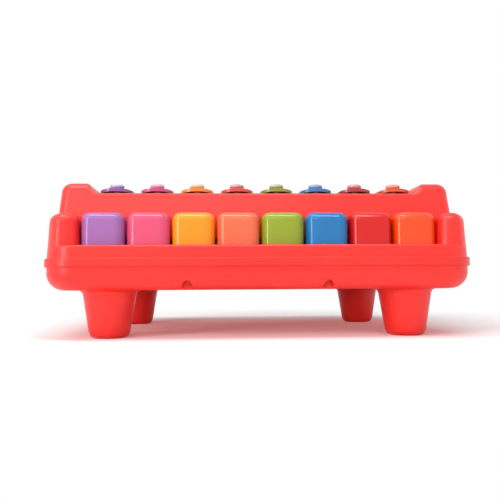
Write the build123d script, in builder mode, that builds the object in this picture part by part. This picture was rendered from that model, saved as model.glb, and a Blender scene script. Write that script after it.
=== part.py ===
from build123d import *
import math
import os

os.makedirs("parts", exist_ok=True)

# A toy xylophone played from piano keys. X runs along the row of keys, Y to the back and Z up,
# from the middle of the floor under the casing. All sizes are in millimetres.

# Casing seen from above, without the flange where its two halves meet
casing_width = 317.4
casing_depth = 220.8
casing_corner_radius = 25.0
casing_draft = 3.5
flange_proud = 1.6
wall = 2.5
tongue_height = 2.0
tongue_thickness = 1.1
tongue_clearance = 0.1
tongue_break = 0.9
overrun = 5.0
part_gap = 0.3

# Heights, each stacked on the one below
leg_height = 35.9
lower_shell_depth = 20.6
lip_rise = 11.9
cheek_rise = 24.3
bed_rise = 19.2
rail_rise = 8.7
deck_drop = 11.5
lower_flange_height = 3.1
upper_flange_height = 2.2
inner_floor = leg_height + wall
seam = leg_height + lower_shell_depth
lip_top = seam + lip_rise
cheek_top = lip_top + cheek_rise
bed_top = cheek_top + bed_rise
rail_top = bed_top + rail_rise
deck_top = bed_top - deck_drop

# Rounding of the casing outside, and the bevel along the bottom of its cavity
lower_edge_radius = 13.0
lower_cavity_bevel = 7.5
cheek_edge_radius = 7.0
cheek_nose_radius = 11.0
cheek_nose_overlap = 0.4
lip_edge_radius = 2.0
bed_edge_radius = 2.2
rail_edge_radius = 8.0
bed_corner_radius = 9.0

# Legs, hollow tapered cups moulded in one with the lower half. Their steps are how far each
# corner stands in from the taper, and its height from the foot or its drop from the top.
leg_inset_x = 44.2
leg_inset_y = 35.4
leg_top_radius = 20.6
leg_foot_radius = 14.9
leg_foot_steps = ((3.6, 0.0), (1.2, 1.2), (0.0, 4.2))
leg_root_steps = ((0.0, 3.2), (-0.7, 1.1), (-2.6, 0.0))
leg_floor = 3.0

# Well that the keys stand in, with a double front wall that is rolled over into a lip
cheek_width = 26.0
lip_thickness = 7.2
ledge = 2.5
bed_setback = 35.4
bed_lean = 6.0
skirt_above_seam = 2.0
well_half_width = casing_width / 2 - cheek_width
well_front = -casing_depth / 2 + lip_thickness
bed_front = -casing_depth / 2 + bed_setback
bed_depth = casing_depth / 2 - bed_front
well_back = bed_front - ledge

# Bed for the bars between two side rails, which curve down to it
rail_width = 21.2
rail_curve = 12.3
rail_crest = 0.5
pocket_side_step = 5.8
pocket_front_gap = 10.5
pocket_back_margin = 19.6
deck_thickness = 2.5
rail_inner_x = casing_width / 2 - rail_width
rail_foot_x = rail_inner_x - rail_curve
pocket_half_width = rail_foot_x + pocket_side_step
pocket_front = bed_front + pocket_front_gap
pocket_back = casing_depth / 2 - pocket_back_margin

# Keys
note_count = 8
key_gap = 2.2
key_end_gap = 1.2
key_pitch = 2 * (well_half_width - key_end_gap + key_gap / 2) / note_count
key_width = key_pitch - key_gap
key_corner_radius = 8.0
key_edge_radius = 6.0
key_outline_height = 60.0
key_wall = 2.0
key_roof = 3.6
key_above_cheek = 0.4
key_front_gap = 1.3
key_back_gap = 1.0
key_travel = 5.5

# Rods on which the keys and the hammers turn, placed along the depth of the bed
rod_radius = 1.5
rod_clearance = 0.05
rod_over_fin = 3.0
hub_width = 8.0
fin_crown_radius = 4.6
key_rod_share = 0.2535
hammer_rod_share = 0.6419
key_rod_rise = 9.9
hammer_rod_rise = 27.9
key_rod_y = bed_front + key_rod_share * bed_depth
hammer_rod_y = bed_front + hammer_rod_share * bed_depth
key_rod_z = seam + key_rod_rise
hammer_rod_z = seam + hammer_rod_rise

# Lever behind each key cap, and the nub on its tail that lifts the hammer
lever_width = 13.0
lever_height = 8.0
tail_height = 6.4
tail_reach_share = 0.2913
tail_reach = tail_reach_share * bed_depth
nub_radius = 2.2

# Bars, all tips in line at the front and each shorter than its left neighbour
bar_gap = 5.7
bar_end_gap = 5.05
bar_pitch = 2 * (pocket_half_width - bar_end_gap + bar_gap / 2) / note_count
bar_width = bar_pitch - bar_gap
bar_thickness = 2.2
bar_hollow = 1.2
bar_crown = 1.5
bar_tip_radius = 11.0
bar_tip_setback = 7.5
bar_back_gap = 10.7
bar_tip_y = bed_front + bar_tip_setback
longest_bar = pocket_back - bar_back_gap - bar_tip_y
peg_from_tip = 10.0
semitone_shares = (0, 2, 4, 5, 7, 9, 11, 12)
octave_share = 12
bar_felt_thickness = 0.8

# Pegs that hold the bars down, and the rails with felt strips that the bars lie on
peg_head_radius = 5.85
peg_head_height = 4.8
peg_top_bevel = 1.7
peg_under_bevel = 1.2
peg_shank_width = 3.4
peg_grip = 7.0
peg_clearance = 0.05
bar_hole_radius = 2.9
bar_rail_width = 8.0
bar_rail_end_gap = 4.0

# Hammers
hammer_arm_width = 6.0
hammer_arm_height = 4.0
hammer_reach_share = 0.302
hammer_reach = hammer_reach_share * bed_depth
hammer_arm_rise = 4.6
hammer_head_width = 10.0
hammer_nose_radius = 3.0
strike_gap = 0.5
slot_width = 13.0
slot_ahead_of_head = 9.0
slot_behind_head = 24.0

# Frame that carries the rods, screwed to posts on the casing floor
frame_standoff = 5.1
frame_plate = 2.5
frame_behind_well_front = 6.2
frame_behind_hammer_rod = 14.0
fin_thickness = 2.2
fin_foot = 28.0
stop_rail_behind_well_front = 13.2
rest_rail_behind_key_rod = 36.0
hammer_rail_ahead_of_rod = 41.0
felt_rail_width = 8.0
hammer_rail_height = 5.0
felt_thickness = 2.5
frame_screw_pitch_share = 2.25
frame_screw_ahead_of_key_rod = 34.0
frame_front = well_front + frame_behind_well_front
frame_back = hammer_rod_y + frame_behind_hammer_rod
stop_rail_y = well_front + stop_rail_behind_well_front
rest_rail_y = key_rod_y + rest_rail_behind_key_rod
hammer_rail_y = hammer_rod_y - hammer_rail_ahead_of_rod
frame_screw_x = frame_screw_pitch_share * key_pitch
frame_screw_front = key_rod_y - frame_screw_ahead_of_key_rod
frame_screw_back = hammer_rod_y

# Leaf springs under the keys, from the foot behind to the tip ahead
spring_width = 6.0
spring_thickness = 0.5
spring_foot_ahead_of_rod = 6.0
spring_bend_ahead_of_rod = 16.0
spring_tip_ahead_of_rod = 38.0
spring_bend_radius = 3.0
spring_curl = 4.0
spring_foot_y = key_rod_y - spring_foot_ahead_of_rod
spring_bend_y = key_rod_y - spring_bend_ahead_of_rod
spring_tip_y = key_rod_y - spring_tip_ahead_of_rod

# Screws, with wells in the lower half for the ones that hold the casing together
screw_radius = 1.5
screw_clearance = 0.05
screw_head_radius = 3.0
screw_head_height = 2.0
recess_length = 3.4
recess_width = 0.9
recess_depth = 1.0
well_radius = 4.0
well_tube_wall = 1.2
well_seat_below_seam = 7.2
boss_radius = 3.8
boss_floor_gap = 0.2
boss_rise = 10.5
casing_screw_length = 12.0
frame_screw_length = 6.5
end_screw_share = 0.3226
front_screw_offset = -2.7
front_screw_inset = 5.5
side_screw_inset = 6.5

# Places worked out from the sizes above
key_centres = [(i - (note_count - 1) / 2) * key_pitch for i in range(note_count)]
bar_centres = [(i - (note_count - 1) / 2) * bar_pitch for i in range(note_count)]
fin_centres = [(i - note_count / 2) * key_pitch for i in range(note_count + 1)]
bar_lengths = [longest_bar / 2 ** (s / octave_share / 2) for s in semitone_shares]
key_top = cheek_top + key_above_cheek
key_bottom = key_rod_z - lever_height / 2
key_front = well_front + key_front_gap
key_back = well_back - key_back_gap
bar_underside = bed_top + bar_felt_thickness
crown_underside = bar_underside + bar_hollow
bar_edge_top = bar_underside + bar_thickness
crown_top = bar_edge_top + bar_crown
peg_underside = crown_top + part_gap
front_peg_y = bar_tip_y + peg_from_tip
rear_peg_left_y = bar_tip_y + bar_lengths[0] - peg_from_tip
rear_peg_right_y = bar_tip_y + bar_lengths[-1] - peg_from_tip
rear_rail_slope = (rear_peg_right_y - rear_peg_left_y) / (bar_centres[-1] - bar_centres[0])
rear_rail_y = (rear_peg_left_y + rear_peg_right_y) / 2
front_peg_places = [(x, front_peg_y) for x in bar_centres]
rear_peg_places = [(x, rear_rail_y + rear_rail_slope * x) for x in bar_centres]
plate_bottom = inner_floor + frame_standoff
plate_top = plate_bottom + frame_plate
well_seat = seam - well_seat_below_seam
boss_bottom = seam + boss_floor_gap
end_screw_x = end_screw_share * casing_width / 2
end_screw_y = casing_depth / 2 - front_screw_inset
side_screw_x = casing_width / 2 - side_screw_inset
casing_screw_places = [
    (front_screw_offset - end_screw_x, -end_screw_y),
    (front_screw_offset + end_screw_x, -end_screw_y),
    (-end_screw_x, end_screw_y),
    (end_screw_x, end_screw_y),
    (-side_screw_x, 0),
    (side_screw_x, 0),
]
frame_screw_places = [
    (-frame_screw_x, frame_screw_front),
    (frame_screw_x, frame_screw_front),
    (-frame_screw_x, frame_screw_back),
    (frame_screw_x, frame_screw_back),
]
leg_x = casing_width / 2 - leg_inset_x
leg_y = casing_depth / 2 - leg_inset_y
leg_places = [(-leg_x, -leg_y), (leg_x, -leg_y), (-leg_x, leg_y), (leg_x, leg_y)]

bar_rails = ((front_peg_y, 0), (rear_rail_y, rear_rail_slope))
peg_hole_width = peg_shank_width + 2 * peg_clearance

# Lift of the hammers. The nub turns with the key, and the underside of the hammer's arm rests on it.
key_angle = math.asin(key_travel / (key_rod_y - key_front))
arm_slope = math.atan2(hammer_arm_rise, hammer_reach)
nub_y = key_rod_y + tail_reach
arm_under_nub = (
    hammer_rod_z
    + (hammer_rod_y - nub_y) * math.tan(arm_slope)
    - hammer_arm_height / 2 / math.cos(arm_slope)
)
nub_z = arm_under_nub - (nub_radius + part_gap) / math.cos(arm_slope)


def turned(y, z, angle):
    """A point of the side view turned about the origin, up at the front for a minus angle."""
    return (
        y * math.cos(angle) - z * math.sin(angle),
        y * math.sin(angle) + z * math.cos(angle),
    )


def hammer_angle_at(angle):
    """Turn of the hammer that keeps its arm's underside on the nub of a key pressed by an angle."""
    y, z = turned(nub_y - key_rod_y, nub_z - key_rod_z, angle)
    y += key_rod_y - hammer_rod_y
    z += key_rod_z - hammer_rod_z
    under = hammer_arm_height / 2 + nub_radius + part_gap
    return math.atan2(z, -y) + math.asin(under / math.hypot(y, z)) - arm_slope


hammer_angle = hammer_angle_at(key_angle)
hammer_ratio = -hammer_angle / key_angle
head_lift = hammer_reach * math.sin(hammer_angle)
head_top = crown_underside - strike_gap - head_lift
head_y = hammer_rod_y - hammer_reach
print("key angle", math.degrees(key_angle), "hammer angle", math.degrees(hammer_angle))
print("hammer ratio", hammer_ratio, "head lift", head_lift, "head top", head_top)


def casing_block(top, inset):
    """Tapered block over the seam, drawn in by an inset."""
    with BuildPart() as block:
        with BuildSketch(Plane.XY.offset(seam)):
            RectangleRounded(
                casing_width - 2 * inset,
                casing_depth - 2 * inset,
                casing_corner_radius - inset,
            )
        extrude(amount=top - inset - seam, taper=casing_draft)
    return block.part


def ahead_of_bed(inset):
    """Space in front of the bed's leaning wall, in the side view."""
    with BuildSketch(Plane.YZ) as space:
        with BuildLine():
            Polyline(
                (-casing_depth, seam - overrun),
                (bed_front + inset, seam - overrun),
                (bed_front + inset, cheek_top),
                (bed_front + bed_lean + inset, rail_top),
                (-casing_depth, rail_top),
                close=True,
            )
        make_face()
    return extrude(space.sketch, amount=casing_width, both=True)


def over_bed(inset):
    """Space above the bed between the side rails, which curve down to it, in the front view."""
    level = bed_top - inset
    inner = rail_inner_x + inset
    foot = rail_foot_x + inset
    crest = rail_top + rail_crest - inset
    middle = ((inner + foot) / 2, (crest + level) / 2)
    with BuildSketch(Plane.XZ) as space:
        with BuildLine():
            Line((-foot, level), (foot, level))
            for side in (1, -1):
                waist = (side * middle[0], middle[1])
                TangentArc((side * foot, level), waist, tangent=(side, 0))
                TangentArc((side * inner, crest), waist, tangent=(-side, 0))
                Line((side * inner, crest), (side * inner, rail_top + overrun))
            Line((-inner, rail_top + overrun), (inner, rail_top + overrun))
        make_face()
    return extrude(space.sketch, amount=casing_depth, both=True)


def eased(edges, radius, inset):
    """Edges rounded on the outer form, and bevelled on the form of the cavity in it."""
    if inset:
        chamfer(edges, length=radius - inset)
    else:
        fillet(edges, radius=radius)


def mouth_space(inset):
    """Space over the lip that the keys show through. A round nose of each cheek stands beside it."""
    lean = (lip_top - seam) * math.tan(math.radians(casing_draft))
    nose = cheek_nose_radius - inset
    corner_x = casing_width / 2 - casing_corner_radius
    nose_x = well_half_width + cheek_nose_radius
    reach = casing_corner_radius - lean - cheek_nose_radius + cheek_nose_overlap
    nose_y = casing_corner_radius - casing_depth / 2 - math.sqrt(reach**2 - (nose_x - corner_x) ** 2)
    outwards = math.acos((nose_x - corner_x) / reach)
    turns = (math.pi, 3 * math.pi / 2 - outwards / 2, 2 * math.pi - outwards)
    start, middle, end = (
        (nose_x + nose * math.cos(turn), nose_y + nose * math.sin(turn)) for turn in turns
    )
    far = (
        end[0] + casing_corner_radius * math.cos(outwards),
        end[1] - casing_corner_radius * math.sin(outwards),
    )
    back = bed_front + inset
    with BuildPart() as space:
        with BuildSketch(Plane.XY.offset(lip_top - inset)):
            with BuildLine():
                for side in (1, -1):
                    Line((side * start[0], back), (side * start[0], start[1]))
                    ThreePointArc(*[(side * x, y) for x, y in (start, middle, end)])
                    Line((side * end[0], end[1]), (side * far[0], far[1]))
                Line((-far[0], far[1]), far)
                Line((-start[0], back), (start[0], back))
            make_face()
        extrude(amount=cheek_rise + inset + overrun, taper=-casing_draft)
    return space.part


def cheek_form(inset):
    """Front of the casing up to the cheeks beside the keys, with their upper edges eased."""
    with BuildPart() as form:
        add(casing_block(cheek_top, inset))
        add(mouth_space(inset), mode=Mode.SUBTRACT)
        eased(form.faces().sort_by(Axis.Z)[-1].edges(), cheek_edge_radius, inset)
    return form.part


def bed_form(inset):
    """Bed behind the keys with its two side rails, and the outer edges eased."""
    with BuildPart() as form:
        add(casing_block(rail_top, inset))
        add(ahead_of_bed(inset), mode=Mode.SUBTRACT)
        front_corners = form.edges().filter_by(
            lambda edge: bed_front < edge.center().Y < bed_front + bed_lean + wall
            and abs(edge.center().X) > rail_inner_x
            and edge.center().Z < rail_top - rail_edge_radius
            and edge.center().Z > cheek_top
        )
        fillet(front_corners, radius=bed_corner_radius - inset)
        eased(form.faces().sort_by(Axis.Z)[-1].edges(), rail_edge_radius, inset)
        add(over_bed(inset), mode=Mode.SUBTRACT)
    return form.part


def box_between(x, y, z):
    """Block between two places on each axis, to add to or cut from the part that asks for it."""
    with BuildPart() as block:
        with BuildSketch(Plane.XY.offset(z[0])):
            with Locations(((x[0] + x[1]) / 2, (y[0] + y[1]) / 2)):
                Rectangle(x[1] - x[0], y[1] - y[0])
        extrude(amount=z[1] - z[0])
    return block.part


def bar_rail(y, slope, bottom, top):
    """Straight rail across the bed, through a place on its middle line and along a slope."""
    reach = pocket_half_width - bar_rail_end_gap
    with BuildPart() as rail:
        with BuildSketch(Plane.XY.offset(bottom)):
            with BuildLine():
                Polyline(
                    (-reach, y - slope * reach - bar_rail_width / 2),
                    (reach, y + slope * reach - bar_rail_width / 2),
                    (reach, y + slope * reach + bar_rail_width / 2),
                    (-reach, y - slope * reach + bar_rail_width / 2),
                    close=True,
                )
            make_face()
        extrude(amount=top - bottom)
    return rail.part


# Cavity of the lower half: the tubes round the screws and the posts for the frame stay standing
with BuildPart() as lower_cavity:
    with BuildSketch(Plane.XY.offset(inner_floor)):
        RectangleRounded(
            casing_width - 2 * wall,
            casing_depth - 2 * wall,
            casing_corner_radius - wall,
        )
    extrude(amount=lower_shell_depth)
    chamfer(lower_cavity.faces().sort_by(Axis.Z)[0].edges(), length=lower_cavity_bevel)
    with BuildSketch(Plane.XY.offset(leg_height)):
        with Locations(*casing_screw_places):
            Circle(well_radius + well_tube_wall)
    extrude(amount=lower_shell_depth, mode=Mode.SUBTRACT)
    with BuildSketch(Plane.XY.offset(leg_height)):
        with Locations(*frame_screw_places):
            Circle(boss_radius)
    extrude(amount=plate_bottom - leg_height, mode=Mode.SUBTRACT)

# Lower half with its four legs
with BuildPart() as lower_shell:
    with BuildSketch(Plane.XY.offset(leg_height)):
        RectangleRounded(casing_width, casing_depth, casing_corner_radius)
    extrude(amount=lower_shell_depth)
    fillet(lower_shell.faces().sort_by(Axis.Z)[0].edges(), radius=lower_edge_radius)
    with BuildSketch(Plane.XY.offset(seam - lower_flange_height)):
        RectangleRounded(
            casing_width + 2 * flange_proud,
            casing_depth + 2 * flange_proud,
            casing_corner_radius + flange_proud,
        )
    extrude(amount=lower_flange_height)
    leg_widening = (leg_top_radius - leg_foot_radius) / leg_height
    leg_top = leg_height + wall
    with BuildSketch(Plane.XZ, mode=Mode.PRIVATE) as leg_profile:
        with BuildLine():
            Polyline(
                (0, 0),
                *[
                    (leg_foot_radius + height * leg_widening - back, height)
                    for back, height in leg_foot_steps
                ],
                *[
                    (leg_top_radius - drop * leg_widening - back, leg_height - drop)
                    for back, drop in leg_root_steps
                ],
                (leg_top_radius, leg_top),
                (0, leg_top),
                close=True,
            )
        make_face()
    leg = revolve(leg_profile.sketch, axis=Axis.Z, mode=Mode.PRIVATE)
    for x, y in leg_places:
        add(leg.moved(Location((x, y, 0))))
    add(lower_cavity.part, mode=Mode.SUBTRACT)
    with Locations(*[(x, y, leg_floor) for x, y in leg_places]):
        Cone(
            leg_foot_radius - wall + leg_floor * leg_widening,
            leg_top_radius - wall + wall * leg_widening,
            leg_height + wall - leg_floor,
            align=(Align.CENTER, Align.CENTER, Align.MIN),
            mode=Mode.SUBTRACT,
        )
    # Raised tongue along the seam that the upper half drops over
    with BuildSketch(Plane.XY.offset(seam)):
        RectangleRounded(
            casing_width - 2 * (wall - tongue_thickness),
            casing_depth - 2 * (wall - tongue_thickness),
            casing_corner_radius - wall + tongue_thickness,
        )
        RectangleRounded(
            casing_width - 2 * wall,
            casing_depth - 2 * wall,
            casing_corner_radius - wall,
            mode=Mode.SUBTRACT,
        )
    extrude(amount=tongue_height)
    with BuildSketch(Plane.XY.offset(seam)):
        with Locations(*casing_screw_places):
            Circle(boss_radius + tongue_break)
    extrude(amount=tongue_height, mode=Mode.SUBTRACT)
    # Wells for the casing screws and holes for all screws
    with BuildSketch(Plane.XY.offset(leg_height)):
        with Locations(*casing_screw_places):
            Circle(well_radius)
    extrude(amount=well_seat - leg_height, mode=Mode.SUBTRACT)
    with BuildSketch(Plane.XY.offset(leg_height)):
        with Locations(*casing_screw_places):
            Circle(screw_radius + screw_clearance)
    extrude(amount=lower_shell_depth, mode=Mode.SUBTRACT)
    with BuildSketch(Plane.XY.offset(inner_floor)):
        with Locations(*frame_screw_places):
            Circle(screw_radius + screw_clearance)
    extrude(amount=lower_shell_depth, mode=Mode.SUBTRACT)
lower_shell.part.label = "lower_shell"
export_step(lower_shell.part, "parts/lower_shell.step")
print("lower shell", lower_shell.part.is_valid, len(lower_shell.solids()))


# Cavity of the upper half: the skirts round the key well and the floor of the bed stay standing
skirt_bottom = seam + skirt_above_seam
window_top = key_rod_z + lever_height / 2 + key_travel
well_across = (-well_half_width, well_half_width)
with BuildPart() as upper_cavity:
    add(cheek_form(wall))
    add(bed_form(wall))
    add(
        box_between(
            (-pocket_half_width - wall, pocket_half_width + wall),
            (pocket_front - wall, pocket_back + wall),
            (deck_top - deck_thickness, rail_top + overrun),
        ),
        mode=Mode.SUBTRACT,
    )
    add(
        box_between(
            (-well_half_width - wall, well_half_width + wall),
            (well_front - wall, well_back + wall),
            (skirt_bottom, cheek_top + overrun),
        ),
        mode=Mode.SUBTRACT,
    )
    add(
        box_between(
            well_across,
            (well_back - overrun, well_back + wall + overrun),
            (seam, window_top),
        )
    )
print("cavity", upper_cavity.part.is_valid, len(upper_cavity.solids()))

# Upper half of the casing
with BuildPart() as upper_shell:
    add(bed_form(0))
    fillet(
        upper_shell.edges().filter_by(
            lambda edge: edge.center().Z > bed_top - bed_edge_radius
            and abs(edge.center().X) < (rail_inner_x + rail_foot_x) / 2 + bed_edge_radius
            and not pocket_front < edge.center().Y < pocket_back
        ),
        radius=bed_edge_radius,
    )
    add(cheek_form(0))
    add(
        box_between(well_across, (well_front, well_back), (seam - overrun, cheek_top + overrun)),
        mode=Mode.SUBTRACT,
    )
    lip_edges = upper_shell.edges().filter_by(Axis.X).filter_by(
        lambda edge: abs(edge.center().Z - lip_top) < part_gap
        and edge.center().Y < well_front + part_gap
    )
    fillet(lip_edges, radius=lip_edge_radius)
    with BuildSketch(Plane.XY.offset(seam)):
        RectangleRounded(
            casing_width + 2 * flange_proud,
            casing_depth + 2 * flange_proud,
            casing_corner_radius + flange_proud,
        )
        RectangleRounded(
            casing_width - 2 * wall,
            casing_depth - 2 * wall,
            casing_corner_radius - wall,
            mode=Mode.SUBTRACT,
        )
    extrude(amount=upper_flange_height)
    add(upper_cavity.part, mode=Mode.SUBTRACT)
    # Bosses for the casing screws, trimmed where the keys stand
    with BuildSketch(Plane.XY.offset(boss_bottom)):
        with Locations(*casing_screw_places):
            Circle(boss_radius)
    extrude(amount=boss_rise)
    add(
        box_between(well_across, (well_front, well_back), (seam - overrun, lip_top)),
        mode=Mode.SUBTRACT,
    )
    # Groove over the tongue of the lower half
    with BuildSketch(Plane.XY.offset(seam)):
        groove_inset = wall - tongue_thickness - tongue_clearance
        RectangleRounded(
            casing_width - 2 * groove_inset,
            casing_depth - 2 * groove_inset,
            casing_corner_radius - groove_inset,
        )
        RectangleRounded(
            casing_width - 2 * wall,
            casing_depth - 2 * wall,
            casing_corner_radius - wall,
            mode=Mode.SUBTRACT,
        )
        with Locations(*casing_screw_places):
            Circle(boss_radius, mode=Mode.SUBTRACT)
    extrude(amount=tongue_height + tongue_clearance, mode=Mode.SUBTRACT)
    # Pocket for the bars, with a rail under each row of pegs and a slot over each hammer
    add(
        box_between(
            (-pocket_half_width, pocket_half_width),
            (pocket_front, pocket_back),
            (deck_top, rail_top + overrun),
        ),
        mode=Mode.SUBTRACT,
    )
    for y, slope in bar_rails:
        add(bar_rail(y, slope, deck_top, bed_top))
    with BuildSketch(Plane.XY.offset(bed_top)):
        with Locations(*front_peg_places, *rear_peg_places):
            Rectangle(peg_hole_width, peg_hole_width)
    extrude(amount=-(peg_grip + part_gap), mode=Mode.SUBTRACT)
    slot_middle = head_y + (slot_behind_head - slot_ahead_of_head) / 2
    with BuildSketch(Plane.XY.offset(deck_top)):
        with Locations(*[(x, slot_middle) for x in bar_centres]):
            Rectangle(slot_width, slot_ahead_of_head + slot_behind_head)
    extrude(amount=-deck_thickness, mode=Mode.SUBTRACT)
    # Holes that the casing screws cut their threads in
    with BuildSketch(Plane.XY.offset(boss_bottom)):
        with Locations(*casing_screw_places):
            Circle(screw_radius + screw_clearance)
    extrude(amount=casing_screw_length - well_seat_below_seam + part_gap, mode=Mode.SUBTRACT)
upper_shell.part.label = "upper_shell"
export_step(upper_shell.part, "parts/upper_shell.step")
print("upper shell", upper_shell.part.is_valid, len(upper_shell.solids()), upper_shell.part.volume)

# Keys, each a hollow cap on a lever that turns on the key rod and lifts a hammer with its tail
hub_length = key_pitch - fin_thickness - 2 * part_gap
inner_front = key_front + key_wall
key_depth = key_back - key_front
key_middle_y = (key_front + key_back) / 2
with BuildPart() as key_block:
    with BuildSketch(Plane.XY.offset(key_bottom)):
        with Locations((0, key_middle_y)):
            RectangleRounded(key_width, key_depth, key_corner_radius)
    extrude(amount=key_top - key_bottom)
    for plane, middle, width in ((Plane.XZ, 0, key_width), (Plane.YZ, key_middle_y, key_depth)):
        with BuildSketch(plane):
            with Locations((middle, key_top - key_outline_height / 2)):
                RectangleRounded(width, key_outline_height, key_edge_radius)
        extrude(amount=casing_width, both=True, mode=Mode.INTERSECT)
    with BuildSketch(Plane.XY.offset(key_bottom)):
        with Locations((0, key_middle_y)):
            RectangleRounded(
                key_width - 2 * key_wall,
                key_depth - 2 * key_wall,
                key_corner_radius - key_wall,
            )
    extrude(amount=key_top - key_roof - key_bottom, mode=Mode.SUBTRACT)
key_cap = key_block.part
for number, x in enumerate(key_centres, start=1):
    with BuildPart() as key:
        add(key_cap.moved(Location((x, 0, 0))))
        lever_across = (x - lever_width / 2, x + lever_width / 2)
        add(
            box_between(
                lever_across,
                (inner_front, key_rod_y),
                (key_bottom, key_bottom + lever_height),
            )
        )
        add(
            box_between(
                lever_across,
                (key_rod_y, nub_y + nub_radius),
                (key_rod_z - tail_height / 2, key_rod_z + tail_height / 2),
            )
        )
        add(box_between(lever_across, (nub_y - nub_radius, nub_y + nub_radius), (key_rod_z, nub_z)))
        with BuildSketch(Plane.YZ.offset(x - lever_width / 2)):
            with Locations((nub_y, nub_z)):
                Circle(nub_radius)
        extrude(amount=lever_width)
        add(
            box_between(
                (x - hub_length / 2, x + hub_length / 2),
                (key_rod_y - hub_width / 2, key_rod_y + hub_width / 2),
                (key_bottom, key_bottom + lever_height),
            )
        )
        with BuildSketch(Plane.YZ.offset(x - hub_length / 2)):
            with Locations((key_rod_y, key_rod_z)):
                Circle(rod_radius + rod_clearance)
        extrude(amount=hub_length, mode=Mode.SUBTRACT)
    key.part.label = f"key_{number}"
    export_step(key.part, f"parts/key_{number}.step")

# Hammers, each a head on an arm that the nub of the key under it lifts
hammer_hub_length = hub_length - (note_count - 1) * (key_pitch - bar_pitch)
arm_length = math.hypot(hammer_reach, hammer_arm_rise)
arm_middle = (hammer_rod_y - hammer_reach / 2, hammer_rod_z + hammer_arm_rise / 2)
nose_z = head_top - hammer_nose_radius
for number, x in enumerate(bar_centres, start=1):
    with BuildPart() as hammer:
        add(
            box_between(
                (x - hammer_head_width / 2, x + hammer_head_width / 2),
                (head_y - hammer_nose_radius, head_y + hammer_nose_radius),
                (hammer_rod_z + hammer_arm_rise - hammer_arm_height / 2, nose_z),
            )
        )
        with BuildSketch(Plane.YZ.offset(x - hammer_head_width / 2)):
            with Locations((head_y, nose_z)):
                Circle(hammer_nose_radius)
        extrude(amount=hammer_head_width)
        with BuildSketch(Plane.YZ.offset(x - hammer_arm_width / 2)):
            with Locations(arm_middle):
                Rectangle(arm_length, hammer_arm_height, rotation=-math.degrees(arm_slope))
        extrude(amount=hammer_arm_width)
        add(
            box_between(
                (x - hammer_hub_length / 2, x + hammer_hub_length / 2),
                (hammer_rod_y - hub_width / 2, hammer_rod_y + hub_width / 2),
                (hammer_rod_z - hub_width / 2, hammer_rod_z + hub_width / 2),
            )
        )
        with BuildSketch(Plane.YZ.offset(x - hammer_hub_length / 2)):
            with Locations((hammer_rod_y, hammer_rod_z)):
                Circle(rod_radius + rod_clearance)
        extrude(amount=hammer_hub_length, mode=Mode.SUBTRACT)
    hammer.part.label = f"hammer_{number}"
    export_step(hammer.part, f"parts/hammer_{number}.step")

# Bars of sheet metal, arched across and cut an octave apart from the longest to the shortest
for number, (x, length, (rear_x, rear_y)) in enumerate(
    zip(bar_centres, bar_lengths, rear_peg_places), start=1
):
    with BuildPart() as bar:
        with BuildSketch(Plane.XY.offset(bar_underside)):
            with Locations((x, bar_tip_y + length / 2)):
                RectangleRounded(bar_width, length, bar_tip_radius)
            with Locations((x, front_peg_y), (rear_x, rear_y)):
                Circle(bar_hole_radius, mode=Mode.SUBTRACT)
        extrude(amount=bar_thickness + bar_crown)
        with BuildSketch(Plane.XZ.offset(-bar_tip_y)):
            with BuildLine():
                left, right = x - bar_width / 2, x + bar_width / 2
                ThreePointArc((left, bar_underside), (x, crown_underside), (right, bar_underside))
                Line((right, bar_underside), (right, bar_edge_top))
                ThreePointArc((right, bar_edge_top), (x, crown_top), (left, bar_edge_top))
                Line((left, bar_edge_top), (left, bar_underside))
            make_face()
        extrude(amount=-length, mode=Mode.INTERSECT)
    bar.part.label = f"bar_{number}"
    export_step(bar.part, f"parts/bar_{number}.step")

# Pegs with round heads and square shanks, and felt strips on the rails, a row at each end of the bars
for row, places, (rail_y, slope) in (
    ("front", front_peg_places, bar_rails[0]),
    ("rear", rear_peg_places, bar_rails[1]),
):
    with BuildPart() as pegs:
        with BuildSketch(Plane.XY.offset(peg_underside)):
            with Locations(*places):
                Circle(peg_head_radius)
        extrude(amount=peg_head_height)
        chamfer(pegs.edges().group_by(Axis.Z)[-1], length=peg_top_bevel)
        chamfer(pegs.edges().group_by(Axis.Z)[0], length=peg_under_bevel)
        with BuildSketch(Plane.XY.offset(peg_underside)):
            with Locations(*places):
                Rectangle(peg_shank_width, peg_shank_width)
        extrude(amount=-(peg_underside - bed_top + peg_grip))
    pegs.part.label = f"{row}_pegs"
    export_step(pegs.part, f"parts/{row}_pegs.step")
    with BuildPart() as felt:
        add(bar_rail(rail_y, slope, bed_top, bar_underside))
        with BuildSketch(Plane.XY.offset(bed_top)):
            with Locations(*places):
                Rectangle(peg_hole_width, peg_hole_width)
        extrude(amount=bar_felt_thickness, mode=Mode.SUBTRACT)
    felt.part.label = f"{row}_bar_felt"
    export_step(felt.part, f"parts/{row}_bar_felt.step")

# Rods
rod_length = note_count * key_pitch + fin_thickness + 2 * rod_over_fin
for name, y, z in (
    ("key_rod", key_rod_y, key_rod_z),
    ("hammer_rod", hammer_rod_y, hammer_rod_z),
):
    with BuildPart() as rod:
        with BuildSketch(Plane.YZ.offset(-rod_length / 2)):
            with Locations((y, z)):
                Circle(rod_radius)
        extrude(amount=rod_length)
    rod.part.label = name
    export_step(rod.part, f"parts/{name}.step")

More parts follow.
